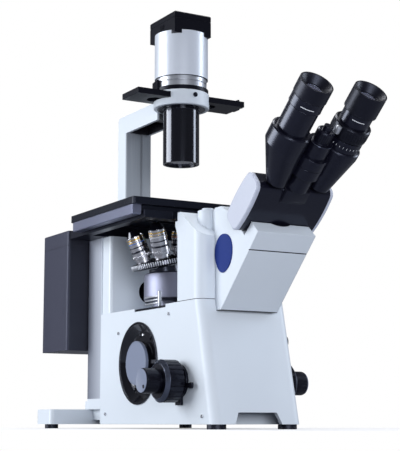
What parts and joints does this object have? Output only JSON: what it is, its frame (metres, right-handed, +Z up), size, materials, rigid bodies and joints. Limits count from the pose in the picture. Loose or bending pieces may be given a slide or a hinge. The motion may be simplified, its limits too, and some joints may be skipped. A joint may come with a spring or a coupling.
{
  "type": "inverted microscope",
  "caption": "Inverted light microscope with a binocular head, a rotating objective nosepiece under a flat stage, side focus knobs, and a lamp and condenser on a pillar above.",
  "frame": {"origin": "centre of the bounding box at table height", "axes": "+X to the user's right, +Y from the eyepieces to the back, +Z up"},
  "size_m": [0.248, 0.6568, 0.579],
  "materials": {
    "white_shell": "smooth satin off-white enamel",
    "dark_housing": "dark grey fine texture",
    "black_paint": "semi-matt black",
    "stage_metal": "dark anodised, brighter edges",
    "black_plastic": "fine matt",
    "rubber": "matt",
    "bright_metal": "satin turned",
    "steel": "brushed",
    "blue_grey": "blue-grey satin",
    "gold": "polished",
    "black_tip": "gloss black",
    "lens_glass": "coated, polished",
    "mirror_face": "polished",
    "badge_blue": "gloss dark blue, plain",
    "ceramic": "plain ceramic-like"
  },
  "bodies": {
    "stand": {"base_frame": "white_shell", "rear_column": "white_shell", "front_column": "white_shell", "neck": "white_shell", "pillar": "white_shell", "arm": "white_shell", "collar": "white_shell", "lamp_base": "white_shell", "lamp_housing": "white_shell", "head_end_caps": "white_shell", "rear_housing": "dark_housing", "rear_housing_lid": "dark_housing", "head_block": "black_paint", "pivot_column": "black_paint", "focus_guide": "black_paint", "stage_plate": "black_paint", "stage_frame": "black_paint", "condenser_barrel": "black_paint", "lamp_cap": "black_paint", "port_rings": "black_paint", "stage_rails": "stage_metal", "stage_insert": "stage_metal", "power_inlet": "black_plastic", "power_supply": "black_plastic", "feet": "rubber", "handhold_liner": "bright_metal", "base_plate": "bright_metal", "cover_screws": "steel", "port_caps": "blue_grey", "tube_lens": "lens_glass", "lamp_lenses": "lens_glass", "lamp_bulb": "lens_glass", "mirror": "mirror_face", "side_badges": "badge_blue", "lamp_socket": "ceramic"},
    "focus": {"focus_block": "bright_metal", "focus_arm": "bright_metal", "nosepiece_base": "black_paint"},
    "nosepiece": {"turret": "bright_metal", "objective_barrels": "bright_metal", "objective_bands": "gold", "objective_tips": "black_tip"},
    "coarse": {"coarse_shaft": "steel", "coarse_knobs": "black_plastic"},
    "fine": {"fine_knobs": "blue_grey"},
    "tension": {"tension_ring": "black_plastic"},
    "lock": {"lock_lever": "black_plastic"},
    "left_ocular": {"left_tube": "black_paint", "left_eyepiece": "black_paint", "left_eyecup": "rubber", "left_eye_lens": "lens_glass"},
    "right_ocular": {"right_tube": "black_paint", "right_eyepiece": "black_paint", "right_eyecup": "rubber", "right_eye_lens": "lens_glass"},
    "diopter": {"right_diopter_ring": "black_plastic"},
    "slider": {"phase_slider": "black_plastic"},
    "aperture": {"aperture_ring": "black_plastic"},
    "switch": {"power_switch": "black_plastic"},
    "dial": {"brightness_dial": "black_plastic"}
  },
  "joints": [
    {"name": "focus_travel", "type": "slide", "parent": "stand", "child": "focus", "axis": [0, 0, 1], "range_m": [-0.002, 0.006]},
    {"name": "coarse_focus_turn", "type": "hinge", "parent": "stand", "child": "coarse", "pos_m": [0, -0.04558, 0.06], "axis": [1, 0, 0], "range_deg": [-19.2, 57.4]},
    {"name": "fine_focus_turn", "type": "hinge", "parent": "coarse", "child": "fine", "pos_m": [0, -0.04558, 0.06], "axis": [1, 0, 0], "continuous": true},
    {"name": "nosepiece_turn", "type": "hinge", "parent": "focus", "child": "nosepiece", "pos_m": [-0.02724, 0.07092, 0.226], "axis": [-0.225, 0, 0.9744], "continuous": true},
    {"name": "left_tube_swing", "type": "hinge", "parent": "stand", "child": "left_ocular", "pos_m": [0, -0.18541, 0.26543], "axis": [0, -0.7547, 0.6561], "range_deg": [-35, 0]},
    {"name": "right_tube_swing", "type": "hinge", "parent": "stand", "child": "right_ocular", "pos_m": [0, -0.18541, 0.26543], "axis": [0, -0.7547, 0.6561], "range_deg": [0, 35]},
    {"name": "diopter_turn", "type": "hinge", "parent": "right_ocular", "child": "diopter", "pos_m": [0.0385, -0.26597, 0.34805], "axis": [0, -0.7547, 0.6561], "range_deg": [-60, 60]},
    {"name": "phase_slide", "type": "slide", "parent": "stand", "child": "slider", "axis": [1, 0, 0], "range_m": [-0.042, 0.042]},
    {"name": "aperture_turn", "type": "hinge", "parent": "stand", "child": "aperture", "pos_m": [0, 0.07092, 0.4675], "axis": [0, 0, 1], "range_deg": [-40, 40]},
    {"name": "tension_turn", "type": "hinge", "parent": "stand", "child": "tension", "pos_m": [-0.0653, -0.04558, 0.06], "axis": [1, 0, 0], "range_deg": [-25, 25]},
    {"name": "lock_turn", "type": "hinge", "parent": "stand", "child": "lock", "pos_m": [-0.0692, -0.04558, 0.06], "axis": [1, 0, 0], "range_deg": [-25, 30]},
    {"name": "power_rocker", "type": "hinge", "parent": "stand", "child": "switch", "pos_m": [0.0574, -0.08058, 0.034], "axis": [0, 0, 1], "range_deg": [-8, 8]},
    {"name": "brightness_turn", "type": "hinge", "parent": "stand", "child": "dial", "pos_m": [0.065, -0.08058, 0.112], "axis": [1, 0, 0], "range_deg": [-135, 135]}
  ],
  "couplings": [
    {"joint": "coarse_focus_turn", "follows": "focus_travel", "rad_per_m": 166.67},
    {"joint": "right_tube_swing", "follows": "left_tube_swing", "ratio": -1}
  ]
}
